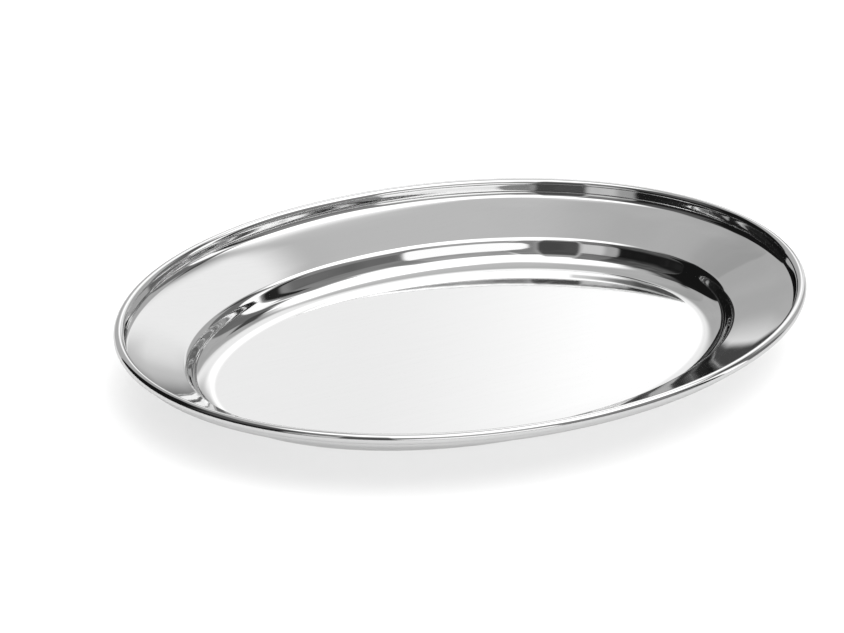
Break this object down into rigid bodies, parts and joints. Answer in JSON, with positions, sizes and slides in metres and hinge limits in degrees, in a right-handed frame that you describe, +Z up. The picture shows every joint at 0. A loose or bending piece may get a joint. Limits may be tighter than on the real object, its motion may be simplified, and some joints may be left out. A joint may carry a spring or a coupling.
{
  "type": "serving tray",
  "caption": "Oval polished stainless-steel serving tray with a sunken flat well, a broad sloping flange and a rolled, wire-cored rim bead.",
  "frame": {"origin": "centre of the flat underside, on the surface that the tray stands on", "axes": "+X along the long axis of the oval, +Y across it, +Z up out of the well"},
  "size_m": [0.3, 0.22, 0.026],
  "materials": {
    "polished_steel": "mirror-polished stainless steel with a faint lengthwise rolling grain and hairline handling scratches",
    "drawn_wire": "plain drawn steel wire, dull"
  },
  "bodies": {
    "root": {"tray_body": "polished_steel", "rim_wire": "drawn_wire"}
  },
  "joints": []
}
